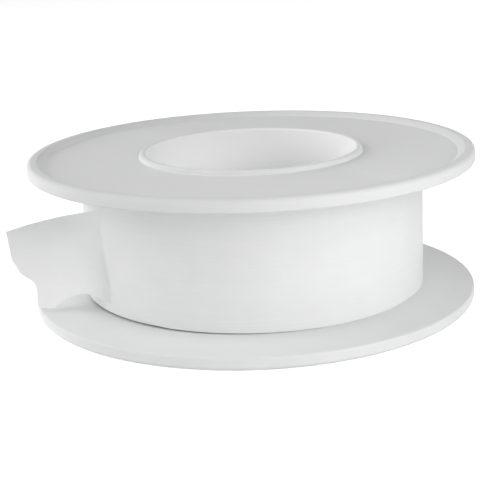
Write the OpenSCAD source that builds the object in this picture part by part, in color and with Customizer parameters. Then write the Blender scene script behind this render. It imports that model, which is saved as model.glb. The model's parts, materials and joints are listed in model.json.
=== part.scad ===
// Thread seal tape roll: a two-part spool that snaps together at its hub, wound with half-inch tape
// whose drawn-out free end stands away from the roll. Millimetres, +Z up. The origin is on the
// spool's axis, in the plane that the roll lies on. Seen from above, the tape is wound clockwise.

/* [Flanges] */
// Outer diameter of both flanges
flange_d = 46; // [42:0.5:60]
// Thickness of a flange at its rim
flange_t = 1.3; // [1.2:0.05:2.5]
// Width of the raised rim, over its rounded edge
rim_w = 1; // [0.8:0.05:2]
// Width of the slope from the rim down to the recess
rim_slope = 0.75; // [0.2:0.05:1.2]
// Depth of the ring-shaped recess in the outer face
recess_depth = 0.5; // [0.35:0.05:0.6]
// Radius of the edge of a flange's outer face
edge_r = 0.5; // [0.2:0.05:0.55]
// Radius of the edge of a flange's inner face
inner_edge_r = 0.2; // [0.1:0.05:0.4]
// How much thicker the lower flange is under the tape than at its rim
seat_rise = 0.35; // [0.1:0.05:0.8]
// How far that thicker part reaches past the winding
seat_margin = 0.35; // [0.1:0.05:1]

/* [Hub] */
// Diameter of the bore through the hub
bore_d = 21.7; // [18:0.1:24]
// Wall of the inner tube, which belongs to the upper half
tube_wall = 0.8; // [0.6:0.05:1.2]
// Wall of the outer sleeve, which belongs to the lower half
sleeve_wall = 0.75; // [0.6:0.05:1.2]
// Radial gap between the tube and the sleeve round it
fit_clear = 0.06; // [0.02:0.01:0.15]
// Width of the raised lip round each end of the hub
lip_w = 0.7; // [0.7:0.05:1.5]
// Radius of the rounded edges of the lips
lip_r = 0.3; // [0.1:0.05:0.34]

/* [Snap fingers] */
// Number of fingers that the slots cut the tube's lower end into
finger_count = 6; // [4:1:8]
// Width of the slots between the fingers
slot_w = 1.2; // [0.8:0.1:2]
// Length of the slots, up from the tube's lower end
slot_len = 5.5; // [3:0.5:8]
// Reach of a finger's barb out from the tube
barb_reach = 0.4; // [0.2:0.05:0.6]
// Height of a barb, from the tube's end to the face that catches
barb_h = 0.8; // [0.6:0.05:1]
// Height of the upright part of a barb, under the face that catches
barb_land = 0.3; // [0.1:0.05:0.5]
// Play between a barb and the counterbore that holds it
barb_play = 0.08; // [0.05:0.01:0.2]

/* [Winding] */
// Width of the tape
tape_w = 12.7; // [10:0.1:19]
// Thickness of one turn of tape
tape_t = 0.075; // [0.05:0.005:0.2]
// Diameter over the outer turn
pack_d = 35.5; // [32:0.5:40]
// Gap between the tape's lower edge and the lower flange
low_clear = 0.05; // [0.05:0.05:0.5]
// Gap between the tape's upper edge and the upper flange
high_clear = 0.1; // [0.05:0.05:0.5]
// Radial gap between the hub and the innermost turn
wind_clear = 0.05; // [0.02:0.01:0.2]
// Radial gap between the core and the outer turn, which moves round it
run_clear = 0.1; // [0.05:0.01:0.3]
// Distance, round the roll, from the start of the outer turn to its end
lap_gap = 2.5; // [1:0.1:5]

/* [Free end] */
// Angle at which the free end leaves the roll, counter-clockwise from +X
root_angle = 217; // [180:1:240]
// How much the stretched tape draws in at its upper edge
neck_drop = 2.5; // [0.5:0.1:3]
// How much the stretched tape draws in at its lower edge
neck_rise = 1.9; // [0.5:0.1:3]
// Length of the outer turn over which the tape draws in
neck_len = 8; // [4:0.5:15]
// Angle by which the free end turns out from the roll's tangent
tail_turn = 24.5; // [10:0.5:60]
// Length of the free end along its upper edge
tail_len = 11.5; // [6:0.1:20]
// Radius at which the free end curls away from the roll
curl_r = 45; // [20:1:200]
// How far the tip has sagged
tail_sag = 2.7; // [0:0.1:4]
// How much the torn end is shorter at its lower edge
tear_slant = 3.2; // [0.5:0.1:5]
// Depth of the nick in the torn end
tear_nick = 0.45; // [0.1:0.05:0.8]
// Gap between the outer turn and the line that the free end swings about
hinge_clear = 0.1; // [0.05:0.01:0.3]

/* [Hidden] */
$fn = 96;
// Straight steps in a rounded corner, and along an edge of the tape that curves
corner_steps = 6;
edge_steps = 10;
// How far a cutting shape reaches past what it cuts, and where a curved cut only just leaves it
past = 1;
run_out = 0.02;

// Spool, from the bore outward
flange_r = flange_d / 2;
bore_r = bore_d / 2;
tube_r = bore_r + tube_wall;
sleeve_r = tube_r + fit_clear;
hub_r = sleeve_r + sleeve_wall;
counterbore_r = tube_r + barb_reach + barb_play;
rim_r = flange_r - rim_w;
edge = min(edge_r, 0.45 * flange_t);

// Heights, from the plane that the roll lies on
ledge_z = barb_h + barb_play;
seat_z = flange_t + seat_rise;
tape_z = seat_z + low_clear;
tape_top = tape_z + tape_w;
face_z = tape_top + high_clear;
spool_h = face_z + flange_t;

// Winding, whose outer turn grows by one thickness on its way round
pack_r = pack_d / 2;
turn_start_r = pack_r - tape_t;
core_r = turn_start_r - tape_t - run_clear;
lap_angle = degrees(lap_gap, pack_r);
seat_r = pack_r + seat_margin;

// The line that the free end swings about, and the directions at its two ends
hinge_angle = root_angle - degrees(tape_t / 2 + hinge_clear, pack_r);
hinge = (pack_r - tape_t / 2) * heading(hinge_angle);
tail_start = hinge_angle - 90 + tail_turn;
tail_curl = degrees(tail_len, curl_r);

function degrees(length, radius) = length / radius * 180 / PI;
function heading(a) = [cos(a), sin(a)];
function smooth(t) = t * t * (3 - 2 * t);
function corner(centre, r, from, to) =
    [for (i = [0:corner_steps]) centre + r * heading(from + (to - from) * i / corner_steps)];
function from_top(points) = [for (p = points) [p[0], spool_h - p[1]]];
function share(i) = i / edge_steps;

// Outer face of a flange as [radius, depth], from the foot of its lip out over the rim and round
// its edge to the inner face
function face_outline(lip_out) = concat(
    [[lip_out, recess_depth], [rim_r - rim_slope, recess_depth], [rim_r, 0]],
    corner([flange_r - edge, edge], edge, -90, 0),
    corner([flange_r - inner_edge_r, flange_t - inner_edge_r], inner_edge_r, 0, 90));

// Rounded lip as [radius, depth], from its inner side over its top to its outer side
function lip_outline(lip_in) = concat(
    corner([lip_in + lip_r, lip_r], lip_r, 180, 270),
    corner([lip_in + lip_w - lip_r, lip_r], lip_r, 270, 360));

// A slot between two fingers, with a round end, cut outward through the tube's wall
module finger_slot() {
    outline = concat([[-slot_w / 2, -past], [slot_w / 2, -past]],
        corner([0, slot_len - slot_w / 2], slot_w / 2, 0, 180));
    translate([bore_r - past, 0, 0])
        rotate([90, 0, 90])
            linear_extrude(tube_wall + barb_reach + 2 * past)
                polygon(outline);
}

// Flange and inner tube. The tube's lower end is slotted into fingers with barbs.
module spool_upper_half() {
    outline = concat(
        [[bore_r, 0]],
        from_top(lip_outline(bore_r)),
        from_top(face_outline(bore_r + lip_w)),
        [[tube_r, face_z], [tube_r, barb_h], [tube_r + barb_reach, barb_h],
         [tube_r + barb_reach, barb_h - barb_land], [tube_r, 0]]);
    color("ghostwhite")
        difference() {
            rotate_extrude()
                polygon(outline);
            for (i = [0:finger_count - 1])
                rotate(i * 360 / finger_count)
                    finger_slot();
        }
}

// Flange and outer sleeve. The counterbore in its outer face has the ledge that the barbs catch.
module spool_lower_half() {
    outline = concat(
        [[counterbore_r, ledge_z]],
        lip_outline(counterbore_r),
        face_outline(counterbore_r + lip_w),
        [[seat_r, seat_z], [hub_r, seat_z], [hub_r, face_z], [sleeve_r, face_z], [sleeve_r, ledge_z]]);
    color("ghostwhite")
        rotate_extrude()
            polygon(outline);
}

// All the turns under the outer one
module tape_core() {
    color("white")
        translate([0, 0, tape_z])
            difference() {
                cylinder(h = tape_w, r = core_r);
                translate([0, 0, -past])
                    cylinder(h = tape_w + 2 * past, r = hub_r + wind_clear);
            }
}

// Half of the outer turn, or less, swung back from the free end about its own centre
module turn_half(centre, outer_r, from, span) {
    translate(centre)
        rotate(from)
            rotate_extrude(angle = span)
                translate([outer_r - tape_t, tape_z])
                    square([tape_t, tape_w]);
}

// Cuts one edge of the outer turn down to the drawn-in width. The outline runs along the tape,
// from the free end back, and edge_z and draw give the edge's height and how far it moves.
module neck_cut(edge_z, draw) {
    away = edge_z - sign(draw) * past;
    outline = concat(
        [[-past, away], [-past, edge_z + draw]],
        [for (i = [0:edge_steps])
            [neck_len * share(i), edge_z + draw * (1 - smooth(share(i))) - sign(draw) * run_out * share(i)]],
        [[neck_len, away]]);
    rotate(root_angle + degrees(neck_len / 2, pack_r))
        translate([core_r - past, -neck_len / 2, 0])
            rotate([90, 0, 90])
                linear_extrude(pack_r - core_r + 2 * past)
                    polygon(outline);
}

// Outer turn: a spiral of two halves, whose centres lie half a thickness apart
module tape_outer_turn() {
    second_centre = -tape_t / 2 * heading(root_angle);
    color("white")
        difference() {
            union() {
                turn_half([0, 0], pack_r, root_angle, 180);
                turn_half(second_centre, pack_r - tape_t / 2, root_angle + 180, 180 - lap_angle);
            }
            neck_cut(tape_top, -neck_drop);
            neck_cut(tape_z, neck_rise);
        }
}

// Side view of the free end: drawn in, sagging until it meets the flange, and torn at a slant
function sag(s) = tail_sag * pow(s / tail_len, 1.4);
function tail_top(s) = tape_top - neck_drop - sag(s);
function tail_bottom(s) = max(tape_z, tape_z + neck_rise - sag(s));
function tear(t) = tail_len - tear_slant * smooth(t) - (t > 0.6 ? tear_nick * (1 - t) : 0);
function tail_outline() = let (
        low_len = tail_len - tear_slant,
        top_end = tail_top(tail_len),
        drop = top_end - tail_bottom(low_len))
    concat(
        [for (i = [0:edge_steps]) [tail_len * share(i), tail_top(tail_len * share(i))]],
        [for (i = [1:edge_steps]) [tear(share(i)), top_end - drop * share(i)]],
        [for (i = [1:edge_steps]) [low_len * (1 - share(i)), tail_bottom(low_len * (1 - share(i)))]]);

// Free end: a strip that curls away from the roll, cut to its side view
module tape_free_end() {
    mid = tail_start + tail_curl / 2;
    color("white")
        intersection() {
            translate(hinge + curl_r * heading(tail_start + 90))
                rotate(tail_start - 90)
                    rotate_extrude(angle = tail_curl)
                        translate([curl_r - tape_t / 2, tape_z - past])
                            square([tape_t, tape_w + 2 * past]);
            translate([hinge[0], hinge[1], 0])
                rotate(mid)
                    rotate([90, 0, 0])
                        translate([0, 0, -tail_len / 2])
                            linear_extrude(tail_len)
                                polygon(tail_outline());
        }
}

// Least gap of the outer turn to itself, on points of its middle line a quarter turn or more apart
turn_steps = 180;
turn_points = [for (i = [0:turn_steps])
    let (back = (360 - lap_angle) * i / turn_steps)
    (pack_r - tape_t / 2 - tape_t * back / 360) * heading(root_angle + back)];
least_gap = min([for (i = [0:turn_steps], j = [0:turn_steps])
    if (j - i > turn_steps / 4) norm(turn_points[i] - turn_points[j])]) - tape_t;
echo(least_gap_of_outer_turn_mm = least_gap);

spool_upper_half();
spool_lower_half();
tape_core();
tape_outer_turn();
tape_free_end();
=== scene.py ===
"""Thread seal tape roll, dressed: a white two-part spool, the wound tape and its drawn-out free end.

Sizes are in metres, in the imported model's own frame: +Z runs up the spool's axis, the roll lies on
Z = 0, and the camera looks along +Y. Seen from above, the tape is wound clockwise.
"""

import json
import math

import bmesh
import bpy
from mathutils import Matrix, Vector, noise

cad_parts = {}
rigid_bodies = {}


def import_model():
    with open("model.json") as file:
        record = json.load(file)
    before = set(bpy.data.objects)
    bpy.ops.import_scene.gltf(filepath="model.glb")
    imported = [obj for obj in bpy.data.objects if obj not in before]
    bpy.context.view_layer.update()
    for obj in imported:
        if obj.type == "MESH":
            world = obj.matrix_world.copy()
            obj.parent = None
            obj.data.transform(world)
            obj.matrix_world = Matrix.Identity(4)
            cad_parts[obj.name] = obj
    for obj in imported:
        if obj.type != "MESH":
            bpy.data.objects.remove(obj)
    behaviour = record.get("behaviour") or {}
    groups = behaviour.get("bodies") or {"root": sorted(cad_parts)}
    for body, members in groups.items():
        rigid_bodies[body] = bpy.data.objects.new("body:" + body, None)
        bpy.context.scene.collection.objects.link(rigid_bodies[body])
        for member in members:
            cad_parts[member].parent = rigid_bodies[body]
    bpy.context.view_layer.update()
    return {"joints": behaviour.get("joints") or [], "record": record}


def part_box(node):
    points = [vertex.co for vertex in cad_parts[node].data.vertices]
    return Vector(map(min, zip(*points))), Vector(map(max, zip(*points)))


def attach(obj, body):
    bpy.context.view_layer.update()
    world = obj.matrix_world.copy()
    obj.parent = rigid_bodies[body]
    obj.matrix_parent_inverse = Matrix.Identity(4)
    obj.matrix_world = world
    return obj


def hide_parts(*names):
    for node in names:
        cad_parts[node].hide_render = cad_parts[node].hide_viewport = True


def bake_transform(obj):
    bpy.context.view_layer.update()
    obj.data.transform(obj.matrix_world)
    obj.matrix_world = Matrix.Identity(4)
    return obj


bl_info = {
    "name": "Thread Seal Tape Roll",
    "version": (1, 0, 0),
    "blender": (4, 5, 0),
    "location": "View3D > Sidebar > Tape Roll",
    "description": "Builds the spool, the winding and the free end of a roll of thread seal tape",
    "category": "Add Mesh",
}

MM = 0.001

# Distances from a border over which a mask fades
FADE_NEAR = 0.05 * MM
FADE_FAR = 0.1 * MM

for leftover in list(bpy.data.objects):
    bpy.data.objects.remove(leftover)
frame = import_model()

# Spool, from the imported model
_, UPPER_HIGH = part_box("spool_upper_half")
_, LOWER_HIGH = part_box("spool_lower_half")
SPOOL_H = UPPER_HIGH.z
FACE_Z = LOWER_HIGH.z
FLANGE_T = SPOOL_H - FACE_Z
FLANGE_R = UPPER_HIGH.x
BORE_R = next(m for m in frame["record"]["mounts"] if m["name"] == "hub_bore")["dims"]["r_mm"] * MM

# Winding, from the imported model. The free end swings about the hinge line, in the middle of the tape.
CORE_LOW, CORE_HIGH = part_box("tape_core")
TAPE_LOW = CORE_LOW.z
TAPE_HIGH = CORE_HIGH.z
CORE_R = CORE_HIGH.x
HINGE = Vector(next(j for j in frame["joints"] if j["name"] == "free_end_lift")["pos_m"])
HINGE_ANGLE = math.atan2(HINGE.y, HINGE.x)
TURN_R = HINGE.to_2d().length


def length(label, text, size, **limits):
    """A size property, in metres."""
    return bpy.props.FloatProperty(
        name=label, description=text, default=size, subtype="DISTANCE", unit="LENGTH", precision=5, **limits
    )


def colour(label, text, rgb):
    """A colour property."""
    return bpy.props.FloatVectorProperty(
        name=label, description=text, default=rgb, subtype="COLOR", size=3, min=0.0, max=1.0
    )


def power(label, text, watts):
    """A lamp's power property."""
    return bpy.props.FloatProperty(
        name=label, description=text, default=watts, min=0.0, unit="POWER", precision=3
    )


def number(label, text, value):
    """A plain number property."""
    return bpy.props.FloatProperty(name=label, description=text, default=value)


def turn_angle(label, text, degrees):
    """An angle property."""
    return bpy.props.FloatProperty(
        name=label, description=text, default=math.radians(degrees), subtype="ANGLE"
    )


class TAPEROLL_PG_spool(bpy.types.PropertyGroup):
    """Sizes and colour of the two spool halves."""

    rim_width: length("Rim width", "Width of the raised rim, over its rounded edge", 1 * MM)
    rim_slope: length("Rim slope", "Width of the slope from the rim down to the recess", 0.75 * MM)
    recess_depth: length("Recess depth", "Depth of the recess in a flange's outer face", 0.5 * MM)
    edge_radius: length("Edge radius", "Radius of the edge of a flange's outer face", 0.5 * MM)
    inner_edge_radius: length("Inner edge radius", "Radius of the edge of a flange's inner face", 0.2 * MM)
    seat_rise: length("Seat rise", "How much thicker the lower flange is under the tape", 0.35 * MM)
    seat_margin: length("Seat margin", "How far that thicker part reaches past the winding", 0.35 * MM)
    foot_radius: length("Foot radius", "Radius of the inner corners of the moulding", 0.15 * MM)
    break_radius: length("Break radius", "Radius of the edges that are only just broken", 0.05 * MM)
    tube_wall: length("Tube wall", "Wall of the inner tube", 0.8 * MM)
    sleeve_wall: length("Sleeve wall", "Wall of the outer sleeve", 0.75 * MM)
    fit_gap: length("Fit gap", "Radial gap between the tube and the sleeve", 0.06 * MM)
    lip_width: length("Lip width", "Width of the raised lip round each end of the hub", 0.7 * MM)
    lip_radius: length("Lip radius", "Radius of the lip's rounded edges", 0.3 * MM)
    finger_count: bpy.props.IntProperty(
        name="Fingers", description="Snap fingers at the tube's lower end", default=6, min=4, max=8
    )
    slot_width: length("Slot width", "Width of the slots between the fingers", 1.2 * MM)
    slot_length: length("Slot length", "Length of the slots between the fingers", 5.5 * MM)
    barb_reach: length("Barb reach", "Reach of a finger's barb out from the tube", 0.4 * MM)
    barb_height: length("Barb height", "Height of the face of a barb that catches", 0.8 * MM)
    barb_land: length("Barb land", "Height of the upright part of a barb", 0.3 * MM)
    barb_play: length("Barb play", "Play between a barb and its counterbore", 0.08 * MM)
    plastic: colour("Plastic", "Colour of the moulded plastic", (0.782, 0.79, 0.785))
    # The bore's colours are painted light: the bore is made much paler than the plastic, palest deep
    # inside, where the lamps leave it in shade.
    bore_painted_light: colour("Bore", "Colour of the smoother plastic in the bore", (0.98, 0.985, 0.98))
    bore_mouth_painted_light: colour("Bore mouth", "Colour of the bore at its ends", (0.89, 0.895, 0.89))
    mouth_depth: length("Mouth depth", "Depth over which the bore turns paler", 3.2 * MM)
    # Painted shade that greys the upper flange's rim and edge, which catch more light than the rest.
    painted_rim_shade: number("Held", "How much handling greys the upper rim", 0.3)
    # Painted shade on the flanges' inner faces at the foot of the winding, strongest towards the free end.
    painted_foot_shade: number("Dust", "How much dust greys the foot of the winding", 0.36)
    painted_foot_shade_reach: length("Dust reach", "How far the dust reaches out from the winding", 3 * MM)


class TAPEROLL_PG_tape(bpy.types.PropertyGroup):
    """Sizes and colour of the wound tape and its free end."""

    thickness: length("Thickness", "Thickness of the tape", 0.075 * MM)
    turns: bpy.props.IntProperty(
        name="Turns", description="Turns of tape under the outer one", default=60, min=8, max=80
    )
    edge_scatter: length("Edge scatter", "How far the turns' edges lie out of line", 0.03 * MM)
    sink: length("Sink", "How far the turns have settled onto the lower flange", 0.04 * MM)
    wander: length("Wander", "How far the lower edge has crept up near the free end", 0.17 * MM)
    lap: length("Lap", "Length of the outer turn that lies under its own end", 9 * MM)
    lap_gap: length("Lap gap", "Gap between the outer turn and its own lap", 0.012 * MM)
    low_neck: length("Low neck", "Length over which the lower edge draws in", 8 * MM)
    top_neck: length("Top neck", "Length over which the upper edge draws in", 3.2 * MM)
    bend_length: length("Bend length", "Length of the bend at the free end's lower edge", 1.2 * MM)
    top_bend: length("Top bend", "Length of the softer bend at its upper edge", 4.5 * MM)
    give: length("Give", "Length over which the free end bends as it swings", 3.5 * MM)
    lift_length: length("Lift length", "Length of the outer turn whose upper part lifts off", 6.5 * MM)
    lift_turn: turn_angle("Lift", "Turn of that part out from the roll", 11)
    tail_turn: turn_angle("Turn out", "Turn of the free end out from the roll", 27.4)
    tail_curl: turn_angle("Curl", "Further turn along the free end", 12)
    wrinkle: length("Wrinkle", "Height of the lengthwise wrinkles near the root", 0.09 * MM)
    top_curl: length("Top curl", "How far the free end's upper edge curls to the front", 1.2 * MM)
    low_curl: length("Low curl", "How far its lower edge does", 0.35 * MM)
    film: colour("Film", "Colour of the tape", (0.85, 0.86, 0.855))


class TAPEROLL_PG_stage(bpy.types.PropertyGroup):
    """Camera, floor and light."""

    floor: colour("Floor", "Colour of the floor", (0.9, 0.9, 0.9))
    floor_glow: number("Floor glow", "Light that the floor adds where it is seen", 0.64)
    lens: number("Lens", "Focal length in millimetres", 92.1)
    shift_x: number("Shift across", "Camera's shift to the side", -0.0276)
    shift_y: number("Shift up", "Camera's shift upwards", -0.0403)
    distance: length("Distance", "From the camera to the middle of the roll", 129.5 * MM)
    elevation: turn_angle("Elevation", "Camera's height angle", 14.61)
    roll: turn_angle("Roll", "Camera's turn about its own axis", -2.21)
    key: power("Key lamp", "Power of the near lamp at the front right", 0.085)
    fill: power("Fill lamp", "Power of the low lamp at the front", 0.064)
    left: power("Left lamp", "Power of the lamp on the left", 0.69)
    back_left: power("Back left lamp", "Power of the low lamp behind, on the left", 0.46)
    back_right: power("Back right lamp", "Power of the low lamp behind, on the right", 0.06)
    ambient: number("Ambient", "Strength of the even light", 0.25)


def spool():
    return bpy.context.scene.tape_roll_spool


def tape():
    return bpy.context.scene.tape_roll_tape


def staging():
    return bpy.context.scene.tape_roll_stage


# Shapes


def smooth(t):
    """Eases from 0 to 1 as t goes from 0 to 1."""
    t = min(max(t, 0.0), 1.0)
    return t * t * (3 - 2 * t)


def direction(angle):
    """Unit vector at an angle from +X, in the plane of the flanges."""
    return Vector((math.cos(angle), math.sin(angle), 0))


def along_points(points, x):
    """Height at x of a smooth line through given (x, height) points."""
    x = min(max(x, points[0][0]), points[-1][0])
    k = next(i for i in range(len(points) - 1) if x <= points[i + 1][0])
    last = len(points) - 1

    def slope(i):
        (x0, y0), (x1, y1) = points[max(i - 1, 0)], points[min(i + 1, last)]
        return (y1 - y0) / (x1 - x0)

    (x0, y0), (x1, y1) = points[k], points[k + 1]
    gap = x1 - x0
    f = (x - x0) / gap
    here = (1 + 2 * f) * (1 - f) ** 2 * y0 + f * f * (3 - 2 * f) * y1
    return here + gap * f * (1 - f) * ((1 - f) * slope(k) - f * slope(k + 1))


def rounded(corners, steps=7):
    """Closed outline through (radius, height, corner radius) corners, each one rounded by an arc."""
    outline = []
    for i, (r, z, fillet) in enumerate(corners):
        here = Vector((r, z))
        before = (Vector(corners[i - 1][:2]) - here).normalized()
        after = (Vector(corners[(i + 1) % len(corners)][:2]) - here).normalized()
        half = math.acos(max(-1.0, min(1.0, before.dot(after)))) / 2
        reach = fillet / math.tan(half)
        centre = here + (before + after).normalized() * (fillet / math.sin(half))
        start = here + before * reach - centre
        sweep = start.angle_signed(here + after * reach - centre)
        for k in range(steps + 1):
            outline.append(centre + Matrix.Rotation(-sweep * k / steps, 2) @ start)
    return outline


def new_piece(name, mesh, material, body, replaced):
    """Links a finished mesh as a piece of the object, on its body and in place of its solid."""
    piece = bpy.data.objects.new(name, mesh)
    bpy.context.scene.collection.objects.link(piece)
    mesh.materials.append(material)
    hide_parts(replaced)
    if body:
        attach(piece, body)
    return piece


def finished(made, name):
    """Mesh of what bmesh made, with its faces turned outwards."""
    bmesh.ops.recalc_face_normals(made, faces=made.faces)
    mesh = bpy.data.meshes.new(name)
    made.to_mesh(mesh)
    made.free()
    return mesh


def lathe(name, outline, segments=256):
    """Mesh of a closed outline turned about the Z axis."""
    made = bmesh.new()
    rings = [
        [made.verts.new((p.x * math.cos(a), p.x * math.sin(a), p.y)) for p in outline]
        for a in (2 * math.pi * k / segments for k in range(segments))
    ]
    for ring, following in zip(rings, rings[1:] + rings[:1]):
        for i in range(len(outline)):
            made.faces.new((ring[i - 1], ring[i], following[i], following[i - 1]))
    return finished(made, name)


def soften(mesh, degrees=40):
    """Smooth shading, apart from edges sharper than this."""
    mesh.shade_smooth()
    mesh.set_sharp_from_angle(angle=math.radians(degrees))


def ribbon(name, rows, columns, surface, thickness):
    """Mesh of a thin closed strip. surface(i, j) gives a point of its middle and the normal there."""
    made = bmesh.new()
    film = made.loops.layers.uv.new("film")
    grid = [[surface(i, j) for j in range(columns + 1)] for i in range(rows + 1)]
    sheets = [
        [[made.verts.new(point + normal * side * thickness / 2) for point, normal in line] for line in grid]
        for side in (1, -1)
    ]
    middle = columns // 2
    along = [0.0]
    for before, after in zip(grid, grid[1:]):
        along.append(along[-1] + (after[middle][0] - before[middle][0]).length)
    place = {}
    for sheet in sheets:
        for i in range(rows + 1):
            for j in range(columns + 1):
                place[sheet[i][j]] = (along[i] / MM, grid[i][j][0].z / MM)

    def face(*corners):
        made_face = made.faces.new(corners)
        for loop in made_face.loops:
            loop[film].uv = place[loop.vert]

    outer, inner = sheets
    for i in range(rows):
        for j in range(columns):
            face(outer[i][j], outer[i + 1][j], outer[i + 1][j + 1], outer[i][j + 1])
            face(inner[i][j], inner[i][j + 1], inner[i + 1][j + 1], inner[i + 1][j])
        for j, order in ((0, 1), (columns, -1)):
            face(*[outer[i][j], inner[i][j], inner[i + 1][j], outer[i + 1][j]][::order])
    for j in range(columns):
        for i, order in ((0, -1), (rows, 1)):
            face(*[outer[i][j], inner[i][j], inner[i][j + 1], outer[i][j + 1]][::order])
    return finished(made, name)


# Materials


def link(tree, source, target):
    tree.links.new(source, target)


def value_node(tree, operation, first, second):
    """A Math node, whose inputs are sockets or numbers."""
    node = tree.nodes.new("ShaderNodeMath")
    node.operation = operation
    for socket, given in zip(node.inputs, (first, second)):
        if isinstance(given, (int, float)):
            socket.default_value = given
        else:
            link(tree, given, socket)
    return node.outputs[0]


def times(tree, first, *others):
    """The product of sockets and numbers."""
    for other in others:
        first = value_node(tree, "MULTIPLY", first, other)
    return first


def noise_node(tree, vector, scale, detail, roughness=0.5):
    node = tree.nodes.new("ShaderNodeTexNoise")
    node.inputs["Detail"].default_value = detail
    node.inputs["Roughness"].default_value = roughness
    if isinstance(scale, (int, float)):
        node.inputs["Scale"].default_value = scale
    else:
        link(tree, scale, node.inputs["Scale"])
    link(tree, vector, node.inputs["Vector"])
    return node.outputs["Fac"]


def new_group(name, inputs, outputs):
    """A node group that takes a vector and numbers, with their defaults, and gives numbers."""
    group = bpy.data.node_groups.new(name, "ShaderNodeTree")
    add = group.interface.new_socket
    add(name="Vector", in_out="INPUT", socket_type="NodeSocketVector")
    for label, value in inputs.items():
        add(name=label, in_out="INPUT", socket_type="NodeSocketFloat").default_value = value
    for label in outputs:
        add(name=label, in_out="OUTPUT", socket_type="NodeSocketFloat")
    entry = group.nodes.new("NodeGroupInput")
    leave = group.nodes.new("NodeGroupOutput")
    return group, entry.outputs, leave.inputs


def grain_group():
    """Moulded skin: fine grain, and slow changes of tone and gloss."""
    found = bpy.data.node_groups.get("moulded skin")
    if found:
        return found
    scales = {"Grain Scale": 4000.0, "Drift Scale": 120.0}
    group, entry, leave = new_group("moulded skin", scales, ("Height", "Drift"))
    link(group, noise_node(group, entry["Vector"], entry["Grain Scale"], 3.0, 0.6), leave["Height"])
    link(group, noise_node(group, entry["Vector"], entry["Drift Scale"], 4.0, 0.55), leave["Drift"])
    return group


def film_group():
    """Rolled film: streaks along the tape, from its own length and width in millimetres."""
    found = bpy.data.node_groups.get("rolled film")
    if found:
        return found
    scales = {"Streak Length": 0.05, "Streak Width": 5.0}
    group, entry, leave = new_group("rolled film", scales, ("Height", "Tone"))
    x, y, _ = coordinate_nodes(group, entry["Vector"])
    joined = group.nodes.new("ShaderNodeCombineXYZ")
    link(group, times(group, x, entry["Streak Length"]), joined.inputs["X"])
    link(group, times(group, y, entry["Streak Width"]), joined.inputs["Y"])
    streak = noise_node(group, joined.outputs[0], 1.0, 4.0, 0.6)
    cloud = noise_node(group, entry["Vector"], 0.35, 3.0, 0.5)
    link(group, streak, leave["Height"])
    link(group, times(group, streak, cloud), leave["Tone"])
    return group


def marks_group():
    """Handling marks: sparse fine scuffs, and soft smudges. Scale counts them per unit of the vector."""
    found = bpy.data.node_groups.get("handling marks")
    if found:
        return found
    group, entry, leave = new_group("handling marks", {"Scale": 1.0}, ("Scuff", "Smudge"))
    vector = entry["Vector"]
    scale = entry["Scale"]
    field = noise_node(group, vector, scale, 2.0, 0.4)
    ridge = value_node(group, "ABSOLUTE", value_node(group, "SUBTRACT", field, 0.5), 0.0)
    line = spread(group, ridge, 1.0, 0.0, 0.0, 0.008)
    patch = noise_node(group, vector, times(group, scale, 0.37), 1.0)
    place = spread(group, patch, 0.0, 1.0, 0.56, 0.66)
    smudge = noise_node(group, vector, times(group, scale, 0.6), 3.0, 0.55)
    link(group, times(group, line, place), leave["Scuff"])
    link(group, smudge, leave["Smudge"])
    return group


def new_material(name):
    """A material with its Principled shader, and a node that gives the object's own coordinates."""
    material = bpy.data.materials.new(name)
    material.use_nodes = True
    tree = material.node_tree
    shader = next(n for n in tree.nodes if n.type == "BSDF_PRINCIPLED")
    return material, tree, shader, tree.nodes.new("ShaderNodeTexCoord")


def tint(tree, mask, dark, light, low=0.3, high=0.7):
    """Colour between dark and light, by a mask."""
    ramp = tree.nodes.new("ShaderNodeValToRGB")
    ramp.color_ramp.elements[0].position = low
    ramp.color_ramp.elements[1].position = high
    ramp.color_ramp.elements[0].color = (*dark, 1)
    ramp.color_ramp.elements[1].color = (*light, 1)
    link(tree, mask, ramp.inputs[0])
    return ramp.outputs["Color"]


def spread(tree, mask, low, high, start=0.0, stop=1.0):
    """A value that goes from low to high as a mask goes from start to stop."""
    node = tree.nodes.new("ShaderNodeMapRange")
    node.inputs["From Min"].default_value = start
    node.inputs["From Max"].default_value = stop
    node.inputs["To Min"].default_value = low
    node.inputs["To Max"].default_value = high
    link(tree, mask, node.inputs["Value"])
    return node.outputs["Result"]


def mixed(tree, mask, under, over):
    """Colour that goes from one to another by a mask. Each is a socket or a plain colour."""
    node = tree.nodes.new("ShaderNodeMix")
    node.data_type = "RGBA"
    link(tree, mask, node.inputs["Factor"])
    for label, given in (("A", under), ("B", over)):
        if isinstance(given, tuple):
            node.inputs[label].default_value = (*given, 1)
        else:
            link(tree, given, node.inputs[label])
    return node.outputs["Result"]


def placed_group(tree, group, vector, **values):
    """A node group in a material, with its vector and its own values."""
    node = tree.nodes.new("ShaderNodeGroup")
    node.node_tree = group
    link(tree, vector, node.inputs["Vector"])
    for label, value in values.items():
        node.inputs[label.replace("_", " ")].default_value = value
    return node.outputs


def seen_ray(tree):
    """1 for rays that show the surroundings: straight ones, and those off gloss or through glass."""
    rays = tree.nodes.new("ShaderNodeLightPath")
    seen = value_node(tree, "MAXIMUM", rays.outputs["Is Camera Ray"], rays.outputs["Is Glossy Ray"])
    return value_node(tree, "MAXIMUM", seen, rays.outputs["Is Transmission Ray"])


def bump(tree, height, strength, distance, shader):
    node = tree.nodes.new("ShaderNodeBump")
    node.inputs["Strength"].default_value = strength
    node.inputs["Distance"].default_value = distance
    link(tree, height, node.inputs["Height"])
    link(tree, node.outputs[0], shader.inputs["Normal"])


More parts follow.
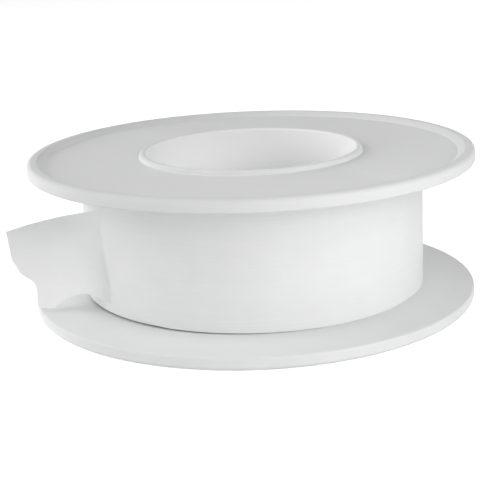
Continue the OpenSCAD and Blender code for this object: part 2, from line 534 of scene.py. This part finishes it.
def distance_from_axis(tree, vector):
    """Distance of a surface point from the spool's axis."""
    flat = tree.nodes.new("ShaderNodeVectorMath")
    flat.operation = "MULTIPLY"
    flat.inputs[1].default_value = (1, 1, 0)
    link(tree, vector, flat.inputs[0])
    reach = tree.nodes.new("ShaderNodeVectorMath")
    reach.operation = "LENGTH"
    link(tree, flat.outputs["Vector"], reach.inputs[0])
    return reach.outputs["Value"]


def coordinate_nodes(tree, vector):
    """The three coordinates of a vector, apart."""
    split = tree.nodes.new("ShaderNodeSeparateXYZ")
    link(tree, vector, split.inputs[0])
    return split.outputs["X"], split.outputs["Y"], split.outputs["Z"]


def darker(rgb, share):
    """A colour at a share of its brightness."""
    return tuple(part * share for part in rgb)


def recess_mask(tree, reach, radius):
    """1 on the sunk outer faces of the flanges, between lip and rim.

    Reach is measured up or down from the spool's middle.
    """
    s = spool()
    floor_reach = SPOOL_H / 2 - s.recess_depth
    outer = spread(tree, reach, 0.0, 1.0, floor_reach - FADE_FAR, floor_reach - FADE_NEAR)
    sunk = spread(tree, reach, 1.0, 0.0, floor_reach + FADE_NEAR, floor_reach + FADE_FAR)
    past_lip = spread(tree, radius, 0.0, 1.0, BORE_R, BORE_R + s.lip_width)
    return times(tree, outer, sunk, past_lip)


def rim_shade_mask(tree, z, radius):
    """1 on the rim and the edge of the upper flange, where shade is painted."""
    s = spool()
    rim_r = FLANGE_R - s.rim_width
    upper = spread(tree, z, 0.0, 1.0, FACE_Z - FADE_FAR, FACE_Z + FADE_FAR)
    past_slope = spread(tree, radius, 0.0, 1.0, rim_r - s.rim_slope, rim_r)
    return times(tree, upper, past_slope)


def foot_shade_mask(tree, x, y, reach, radius):
    """1 on the flanges' inner faces at the foot of the winding, most of all towards the free end, where
    shade is painted.
    """
    face_reach = SPOOL_H / 2 - FLANGE_T
    inner = spread(tree, reach, 1.0, 0.0, face_reach + FADE_NEAR, face_reach + FADE_NEAR + FADE_FAR)
    near = spread(tree, radius, 1.0, 0.0, TURN_R, TURN_R + spool().painted_foot_shade_reach)
    root = direction(HINGE_ANGLE)
    across = value_node(tree, "ADD", times(tree, x, root.x), times(tree, y, root.y))
    facing = value_node(tree, "DIVIDE", across, radius)
    return times(tree, inner, near, near, spread(tree, facing, 0.3, 1.0, -0.5, 0.7))


def plastic_material():
    """White moulded plastic: satin, finely grained and smoother on its edges; paler in the bore by painted
    light, with painted shade on the upper rim and at the foot of the winding.
    """
    found = bpy.data.materials.get("moulded white plastic")
    if found:
        return found
    material, tree, shader, coordinates = new_material("moulded white plastic")
    s = spool()
    place = coordinates.outputs["Object"]
    skin = placed_group(tree, grain_group(), place, Grain_Scale=4000.0, Drift_Scale=120.0)
    marks = placed_group(tree, marks_group(), place, Scale=260.0)
    geometry = tree.nodes.new("ShaderNodeNewGeometry")
    edge = spread(tree, geometry.outputs["Pointiness"], 0.0, 1.0, 0.5, 0.58)
    radius = distance_from_axis(tree, place)
    x, y, z = coordinate_nodes(tree, place)
    reach = value_node(tree, "ABSOLUTE", value_node(tree, "SUBTRACT", z, SPOOL_H / 2), 0.0)
    bore = spread(tree, radius, 1.0, 0.0, BORE_R + FADE_NEAR, BORE_R + 2 * FADE_FAR)
    deep = spread(tree, reach, 1.0, 0.0, SPOOL_H / 2 - s.mouth_depth, SPOOL_H / 2 - s.lip_radius)
    recess = recess_mask(tree, reach, radius)

    light = tuple(s.plastic)
    tone = tint(tree, skin["Drift"], darker(light, 0.97), light)
    tone = mixed(tree, recess, tone, light)
    # Painted shade on the upper flange's rim and edge
    tone = mixed(tree, times(tree, rim_shade_mask(tree, z, radius), s.painted_rim_shade), tone, darker(light, 0.8))
    # Painted shade at the foot of the winding
    foot_shading = times(tree, foot_shade_mask(tree, x, y, reach, radius), s.painted_foot_shade)
    tone = mixed(tree, foot_shading, tone, darker(light, 0.5))
    # Painted light: the bore paler than the plastic, palest deep inside
    tone = mixed(tree, bore, tone, mixed(tree, deep, tuple(s.bore_mouth_painted_light), tuple(s.bore_painted_light)))
    tone = mixed(tree, times(tree, marks["Scuff"], 0.12), tone, darker(light, 0.8))
    link(tree, tone, shader.inputs["Base Color"])

    polish = times(tree, value_node(tree, "MAXIMUM", edge, bore), 0.12)
    smudged = spread(tree, marks["Smudge"], 0.48, 0.6)
    rough = value_node(tree, "ADD", smudged, times(tree, marks["Scuff"], 0.1))
    rough = value_node(tree, "ADD", rough, times(tree, recess, 0.08))
    link(tree, value_node(tree, "SUBTRACT", rough, polish), shader.inputs["Roughness"])
    bump(tree, skin["Height"], 0.12, 0.02 * MM, shader)
    shader.inputs["Specular IOR Level"].default_value = 0.3
    shader.inputs["Subsurface Weight"].default_value = 0.1
    shader.inputs["Subsurface Radius"].default_value = (0.95, 1.0, 0.97)
    shader.inputs["Subsurface Scale"].default_value = 0.4 * MM
    return material


def film_material(name, milky, painted_gradient):
    """White seal tape: smooth, waxy film with streaks along its length and faint creases.

    Milky says how much of the light goes into the film, and through it where it is a single layer.
    The last argument says how much painted shade greys its upper edge, away from the roll, and how much
    painted light whitens its lower edge.
    """
    found = bpy.data.materials.get(name)
    if found:
        return found
    material, tree, shader, coordinates = new_material(name)
    place = coordinates.outputs["UV"]
    film = placed_group(tree, film_group(), place, Streak_Length=0.05, Streak_Width=5.0)
    marks = placed_group(tree, marks_group(), place, Scale=0.35)

    light = tuple(tape().film)
    tone = tint(tree, film["Tone"], darker(light, 0.96), light, 0.1, 0.4)
    if painted_gradient:
        out, up, _ = coordinate_nodes(tree, place)
        away = spread(tree, out, 0.0, painted_gradient, 0.5, 4.0)
        # Painted shade greys the upper edge and painted light whitens the lower edge, away from the roll
        grey = times(tree, away, spread(tree, up, 0.0, 1.0, 8.0, 11.0))
        white = times(tree, away, spread(tree, up, 1.0, 0.0, 4.0, 8.5))
        tone = mixed(tree, grey, tone, darker(light, 0.83))
        tone = mixed(tree, white, tone, (0.97, 0.97, 0.97))
    tone = mixed(tree, times(tree, marks["Scuff"], 0.1), tone, darker(light, 0.85))
    link(tree, tone, shader.inputs["Base Color"])

    smudged = spread(tree, marks["Smudge"], -0.05, 0.05)
    rough = value_node(tree, "ADD", spread(tree, film["Height"], 0.5, 0.62), smudged)
    link(tree, rough, shader.inputs["Roughness"])
    bump(tree, film["Height"], 0.25, 0.02 * MM, shader)
    shader.inputs["Specular IOR Level"].default_value = 0.3
    shader.inputs["Subsurface Weight"].default_value = milky
    shader.inputs["Subsurface Radius"].default_value = (0.95, 1.0, 0.97)
    shader.inputs["Subsurface Scale"].default_value = 0.3 * MM
    return material


def wound_film():
    return film_material("wound seal tape", 0.2, 0.0)


def drawn_film():
    return film_material("drawn seal tape", 0.75, 1.0)


# Pieces


def upper_corners(s):
    """Corners of the upper half's outline: bore, lip, recess, rim, then back down the tube."""
    tube_r = BORE_R + s.tube_wall
    lip_r = BORE_R + s.lip_width
    rim_r = FLANGE_R - s.rim_width
    floor_z = SPOOL_H - s.recess_depth
    return [
        (BORE_R, 0, s.break_radius),
        (BORE_R, SPOOL_H, s.lip_radius),
        (lip_r, SPOOL_H, s.lip_radius),
        (lip_r, floor_z, s.foot_radius),
        (rim_r - s.rim_slope, floor_z, s.foot_radius),
        (rim_r, SPOOL_H, s.foot_radius),
        (FLANGE_R, SPOOL_H, s.edge_radius),
        (FLANGE_R, FACE_Z, s.inner_edge_radius),
        (tube_r, FACE_Z, s.break_radius),
        (tube_r, s.barb_height, s.break_radius),
        (tube_r + s.barb_reach, s.barb_height, s.break_radius),
        (tube_r + s.barb_reach, s.barb_height - s.barb_land, s.break_radius),
        (tube_r, 0, s.break_radius),
    ]


def lower_corners(s):
    """Corners of the lower half's outline: counterbore, lip, recess, rim, seat, then the sleeve."""
    tube_r = BORE_R + s.tube_wall
    sleeve_r = tube_r + s.fit_gap
    hub_r = sleeve_r + s.sleeve_wall
    counterbore_r = tube_r + s.barb_reach + s.barb_play
    lip_r = counterbore_r + s.lip_width
    rim_r = FLANGE_R - s.rim_width
    ledge_z = s.barb_height + s.barb_play
    seat_r = TURN_R + tape().thickness / 2 + s.seat_margin
    seat_z = FLANGE_T + s.seat_rise
    return [
        (counterbore_r, ledge_z, s.break_radius),
        (counterbore_r, 0, s.lip_radius),
        (lip_r, 0, s.lip_radius),
        (lip_r, s.recess_depth, s.foot_radius),
        (rim_r - s.rim_slope, s.recess_depth, s.foot_radius),
        (rim_r, 0, s.foot_radius),
        (FLANGE_R, 0, s.edge_radius),
        (FLANGE_R, FLANGE_T, s.inner_edge_radius),
        (seat_r, seat_z, s.edge_radius),
        (hub_r, seat_z, s.foot_radius),
        (hub_r, FACE_Z, s.break_radius),
        (sleeve_r, FACE_Z, s.break_radius),
        (sleeve_r, ledge_z, s.break_radius),
    ]


def slot_cutter(s):
    """The slots between the fingers, as one mesh of prisms with round upper ends."""
    made = bmesh.new()
    past = 1 * MM
    half = s.slot_width / 2
    arc = [math.pi * k / 10 for k in range(11)]
    side = [(half * math.cos(a), s.slot_length - half + half * math.sin(a)) for a in arc]
    outline = [(half, -past), *side, (-half, -past)]
    near = BORE_R - past
    far = BORE_R + s.tube_wall + s.barb_reach + past
    for k in range(s.finger_count):
        turn = Matrix.Rotation(2 * math.pi * k / s.finger_count, 3, "Z")
        ends = [[made.verts.new(turn @ Vector((r, y, z))) for y, z in outline] for r in (near, far)]
        made.faces.new(ends[0])
        made.faces.new(ends[1])
        for i in range(len(outline)):
            made.faces.new((ends[0][i - 1], ends[0][i], ends[1][i], ends[1][i - 1]))
    cutter = bpy.data.objects.new("slot_cutter", finished(made, "slot cutter"))
    bpy.context.scene.collection.objects.link(cutter)
    return cutter


def cut(piece, cutter):
    """Cuts one mesh out of another, and removes the cutter."""
    modifier = piece.modifiers.new("cut", "BOOLEAN")
    modifier.object = cutter
    modifier.operation = "DIFFERENCE"
    modifier.solver = "EXACT"
    graph = bpy.context.evaluated_depsgraph_get()
    mesh = bpy.data.meshes.new_from_object(piece.evaluated_get(graph))
    piece.modifiers.clear()
    piece.data = mesh
    bpy.data.objects.remove(cutter)


class TAPEROLL_OT_spool_halves(bpy.types.Operator):
    """Turns the two halves of the spool and slots the fingers that snap them together."""

    bl_idname = "tape_roll.spool_halves"
    bl_label = "Spool halves"

    def execute(self, context):
        s = spool()
        plastic = plastic_material()
        halves = (
            ("spool_top", upper_corners(s), "spool_upper_half"),
            ("spool_bottom", lower_corners(s), "spool_lower_half"),
        )
        for name, corners, node in halves:
            piece = new_piece(name, lathe(name, rounded(corners)), plastic, "spool", node)
            if name == "spool_top":
                cut(piece, slot_cutter(s))
            soften(piece.data)
        return {"FINISHED"}


# Direction in which the winding's lower edge has crept up the most
CREEP_ANGLE = math.radians(-145)


def low_edge(out):
    """Height of the winding's lower edge: settled on the flange, but crept up near the free end."""
    near = max(out.dot(direction(CREEP_ANGLE)), 0.0)
    return TAPE_LOW - tape().sink + tape().wander * near ** 2


class TAPEROLL_OT_winding(bpy.types.Operator):
    """Winds the turns under the outer one as one spiral strip, with edges a little out of line."""

    bl_idname = "tape_roll.winding"
    bl_label = "Winding"

    def execute(self, context):
        t = tape()
        s = spool()
        steps = 120
        # Share of the tape's thickness that is drawn, which keeps the turns apart
        clear = 0.9
        first_r = BORE_R + s.tube_wall + s.fit_gap + s.sleeve_wall + t.thickness
        pitch = (CORE_R - t.thickness / 2 - first_r) / t.turns

        def surface(i, j):
            wound = 2 * math.pi * i / steps
            out = direction(HINGE_ANGLE - wound)
            radius = first_r + pitch * i / steps
            stray = t.edge_scatter * noise.noise((0.4 * wound, 7.0 * j, 0.0))
            edge = TAPE_HIGH + stray if j else low_edge(out) + abs(stray)
            return out * radius + Vector((0, 0, edge)), out

        mesh = ribbon("winding", t.turns * steps, 1, surface, t.thickness * clear)
        soften(mesh)
        new_piece("wound_tape", mesh, wound_film(), "spool", "tape_core")
        return {"FINISHED"}


# Heights of the drawn-in tape's edges, along the free end from its root, in millimetres
TOP_EDGE = (
    (0, 12.5), (0.6, 12.25), (1.2, 12.1), (2.7, 11.85), (4.2, 11.6),
    (6.2, 11.1), (8.3, 10.5), (10, 9.95), (11, 9.65),
)
LOW_EDGE = (
    (0, 2.7), (0.8, 2.85), (1.7, 3.2), (3, 3.5), (4.4, 3.15),
    (5.8, 2.4), (6.6, 1.8), (7.2, 1.72), (11.7, 1.7),
)
# Where the torn end lies, along the free end, from its lower edge (0) to its upper edge (1)
TORN_END = (
    (0, 8.4), (0.28, 8.8), (0.36, 9.55), (0.44, 10.15),
    (0.56, 10.4), (0.7, 10.5), (0.86, 10.5), (1, 10.4),
)
# Waves of the torn end: height in millimetres, count, and place in the noise
TORN_WAVES = ((0.12, 9.0, 3.0), (0.05, 31.0, 8.0))

# Shares of the tape's width: where the lift-off starts, how far it builds up, and the line it curls from
LIFT_START = 0.17
LIFT_SPAN = 0.55
CURL_LINE = 0.35
# Length of the free end over which that curl builds up
CURL_LENGTH = 5 * MM

# The wrinkles rise from the root, hold, then calm by a share towards the torn end
WRINKLE_RISE = 2 * MM
WRINKLE_HOLD = 4 * MM
WRINKLE_FALL = 5 * MM
WRINKLE_CALM = 0.6


def lift_share(v):
    """How much of the lift-off the tape has at a height, from its lower edge (0) to its upper edge (1)."""
    return smooth((v - LIFT_START) / LIFT_SPAN)


def edge_curl(v):
    """How far the free end curls to the front at a height, once its curl has built up."""
    t = tape()
    if v > CURL_LINE:
        return t.top_curl * ((v - CURL_LINE) / (1 - CURL_LINE)) ** 2
    return t.low_curl * ((CURL_LINE - v) / CURL_LINE) ** 2


def root_lift(v, left):
    """How far the outer turn has lifted off the roll, at a length before the free end's root."""
    t = tape()
    run = max(t.lift_length - left, 0.0)
    return t.lift_turn * lift_share(v) * run * run / (2 * t.lift_length)


class TAPEROLL_OT_outer_turn(bpy.types.Operator):
    """Lays the outer turn, which draws in on its way to the free end."""

    bl_idname = "tape_roll.outer_turn"
    bl_label = "Outer turn"

    def execute(self, context):
        t = tape()
        rows, columns = 360, 24
        span = 2 * math.pi + t.lap / TURN_R
        pitch = t.thickness + t.lap_gap
        root_top = TOP_EDGE[0][1] * MM
        root_low = LOW_EDGE[0][1] * MM

        def surface(i, j):
            left = span * (rows - i) / rows
            out = direction(HINGE_ANGLE + left)
            drawn_up = 1 - smooth(left * TURN_R / t.low_neck)
            drawn_down = 1 - smooth(left * TURN_R / t.top_neck)
            low = low_edge(out) + (root_low - low_edge(out)) * drawn_up
            high = TAPE_HIGH + (root_top - TAPE_HIGH) * drawn_down
            radius = TURN_R - pitch * left / (2 * math.pi) + root_lift(j / columns, left * TURN_R)
            return out * radius + Vector((0, 0, low + (high - low) * j / columns)), out

        mesh = ribbon("outer turn", rows, columns, surface, t.thickness)
        soften(mesh)
        new_piece("outer_turn", mesh, wound_film(), "outer_turn", "tape_outer_turn")
        return {"FINISHED"}


class TAPEROLL_OT_free_end(bpy.types.Operator):
    """Makes the drawn-out free end: bent out from the roll, sagging, wrinkled and torn at a slant."""

    bl_idname = "tape_roll.free_end"
    bl_label = "Free end"

    def execute(self, context):
        t = tape()
        rows, columns = 72, 56
        reach = max(end for _, end in TORN_END) * MM
        fine = 400
        tangent = HINGE_ANGLE - math.pi / 2

        def walked(v):
            """Points along the free end, at a height from its lower edge (0) to its upper edge (1)."""
            bend = t.bend_length + (t.top_bend - t.bend_length) * smooth(v)
            lifted = t.lift_turn * lift_share(v)
            line = [HINGE + direction(HINGE_ANGLE) * root_lift(v, 0.0)]
            for k in range(fine):
                s = reach * (k + 0.5) / fine
                bent = lifted + (t.tail_turn - lifted) * smooth(s / bend)
                angle = tangent + bent + t.tail_curl * s / reach
                line.append(line[-1] + direction(angle) * (reach / fine))
            return line

        paths = [walked(j / columns) for j in range(columns + 1)]

        def middle(i, j):
            v = j / columns
            path = paths[j]
            ragged = sum(size * noise.noise((count * v, 0.0, at)) for size, count, at in TORN_WAVES)
            end = (along_points(TORN_END, v) + ragged) * MM
            s = min(end, reach) * i / rows
            k = min(int(s / reach * fine), fine - 1)
            spot = path[k].lerp(path[k + 1], s / reach * fine - k)
            side = (path[k + 1] - path[k]).cross(Vector((0, 0, 1))).normalized()
            low = along_points(LOW_EDGE, s / MM) * MM
            high = along_points(TOP_EDGE, s / MM) * MM
            z = low + (high - low) * v
            fade = smooth(s / WRINKLE_RISE) * (1 - WRINKLE_CALM * smooth((s - WRINKLE_HOLD) / WRINKLE_FALL))
            fold = noise.noise((0.12 * s / MM, 1.3 * (z / MM + 0.2 * s / MM), 5.0))
            forward = t.wrinkle * fade * fold + edge_curl(v) * smooth(s / CURL_LENGTH)
            return Vector((spot.x, spot.y, z)) - side * forward

        points = [[middle(i, j) for j in range(columns + 1)] for i in range(rows + 1)]

        def surface(i, j):
            ahead = points[min(i + 1, rows)][j] - points[max(i - 1, 0)][j]
            up = points[i][min(j + 1, columns)] - points[i][max(j - 1, 0)]
            return points[i][j], up.cross(ahead).normalized()

        mesh = ribbon("free end", rows, columns, surface, t.thickness)
        soften(mesh)
        piece = new_piece("free_end", mesh, drawn_film(), None, "tape_free_end")
        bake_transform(piece)
        return {"FINISHED"}


class TAPEROLL_OT_stage(bpy.types.Operator):
    """Sets the camera, the pale floor and the soft light."""

    bl_idname = "tape_roll.stage"
    bl_label = "Stage"

    def execute(self, context):
        self.camera(context)
        self.floor()
        self.lamps()
        self.world(context)
        context.scene.view_settings.view_transform = "Standard"
        return {"FINISHED"}

    def camera(self, context):
        g = staging()
        data = bpy.data.cameras.new("camera")
        data.lens = g.lens
        data.sensor_width = 36.0
        data.shift_x = g.shift_x
        data.shift_y = g.shift_y
        data.clip_start = 0.01
        data.clip_end = 20.0
        camera = bpy.data.objects.new("camera", data)
        context.scene.collection.objects.link(camera)
        middle = Vector((0, 0, SPOOL_H / 2))
        back = Vector((0, -math.cos(g.elevation), math.sin(g.elevation)))
        aim = (-back).to_track_quat("-Z", "Y").to_matrix() @ Matrix.Rotation(g.roll, 3, "Z")
        camera.matrix_world = Matrix.Translation(middle + back * g.distance) @ aim.to_4x4()
        context.scene.camera = camera

    def floor(self):
        g = staging()
        mesh = bpy.data.meshes.new("floor")
        half = 4.0
        corners = [(half * x, half * y, 0) for x, y in ((-1, -1), (1, -1), (1, 1), (-1, 1))]
        mesh.from_pydata(corners, [], [(0, 1, 2, 3)])
        floor = bpy.data.objects.new("floor", mesh)
        bpy.context.scene.collection.objects.link(floor)
        material, tree, shader, _ = new_material("pale floor")
        shader.inputs["Base Color"].default_value = (*g.floor, 1)
        shader.inputs["Roughness"].default_value = 0.9
        shader.inputs["Emission Color"].default_value = (1, 1, 1, 1)
        link(tree, times(tree, seen_ray(tree), g.floor_glow), shader.inputs["Emission Strength"])
        mesh.materials.append(material)

    def lamp(self, name, watts, azimuth, elevation, distance, size, glossy=True):
        """A square soft box that faces the roll, hidden from reflections unless it is glossy.

        Azimuth runs from the camera's side to the right.
        """
        data = bpy.data.lights.new(name, "AREA")
        data.energy = watts
        data.size = size
        lamp = bpy.data.objects.new(name, data)
        bpy.context.scene.collection.objects.link(lamp)
        across = math.radians(azimuth)
        up = math.radians(elevation)
        away = Vector((math.sin(across) * math.cos(up), -math.cos(across) * math.cos(up), math.sin(up)))
        lamp.matrix_world = Matrix.LocRotScale(
            Vector((0, 0, SPOOL_H / 2)) + away * distance, (-away).to_track_quat("-Z", "Y"), None
        )
        lamp.visible_camera = False
        lamp.visible_glossy = glossy

    def lamps(self):
        g = staging()
        near = {"distance": 0.15, "size": 0.1}
        far = {"distance": 0.35, "size": 0.25, "glossy": False}
        self.lamp("key lamp", g.key, 45, 30, **near)
        self.lamp("fill lamp", g.fill, 30, 8, **near)
        self.lamp("left lamp", g.left, -90, 25, **far)
        self.lamp("back left lamp", g.back_left, -120, 8, **far)
        self.lamp("back right lamp", g.back_right, 150, 8, **far)

    def world(self, context):
        g = staging()
        world = bpy.data.worlds.new("studio")
        world.use_nodes = True
        tree = world.node_tree
        sky = next(n for n in tree.nodes if n.type == "BACKGROUND")
        sky.inputs["Color"].default_value = (1, 1, 1, 1)
        link(tree, value_node(tree, "MAXIMUM", seen_ray(tree), g.ambient), sky.inputs["Strength"])
        context.scene.world = world


class TAPEROLL_PT_panel(bpy.types.Panel):
    """Lists the steps that build the roll."""

    bl_idname = "TAPEROLL_PT_panel"
    bl_label = "Tape Roll"
    bl_space_type = "VIEW_3D"
    bl_region_type = "UI"
    bl_category = "Tape Roll"

    def draw(self, context):
        for step in STEPS:
            self.layout.operator(step.bl_idname)


STEPS = (
    TAPEROLL_OT_stage,
    TAPEROLL_OT_spool_halves,
    TAPEROLL_OT_winding,
    TAPEROLL_OT_outer_turn,
    TAPEROLL_OT_free_end,
)
SETTINGS = {
    "tape_roll_spool": TAPEROLL_PG_spool,
    "tape_roll_tape": TAPEROLL_PG_tape,
    "tape_roll_stage": TAPEROLL_PG_stage,
}


def register():
    for cls in (*SETTINGS.values(), *STEPS, TAPEROLL_PT_panel):
        bpy.utils.register_class(cls)
    for name, cls in SETTINGS.items():
        setattr(bpy.types.Scene, name, bpy.props.PointerProperty(type=cls))


def unregister():
    for name in SETTINGS:
        delattr(bpy.types.Scene, name)
    for cls in (TAPEROLL_PT_panel, *STEPS[::-1], *SETTINGS.values()):
        bpy.utils.unregister_class(cls)


def main():
    register()
    bpy.ops.tape_roll.stage()
    bpy.ops.tape_roll.spool_halves()
    bpy.ops.tape_roll.winding()
    bpy.ops.tape_roll.outer_turn()
    bpy.ops.tape_roll.free_end()


if __name__ == "__main__":
    main()
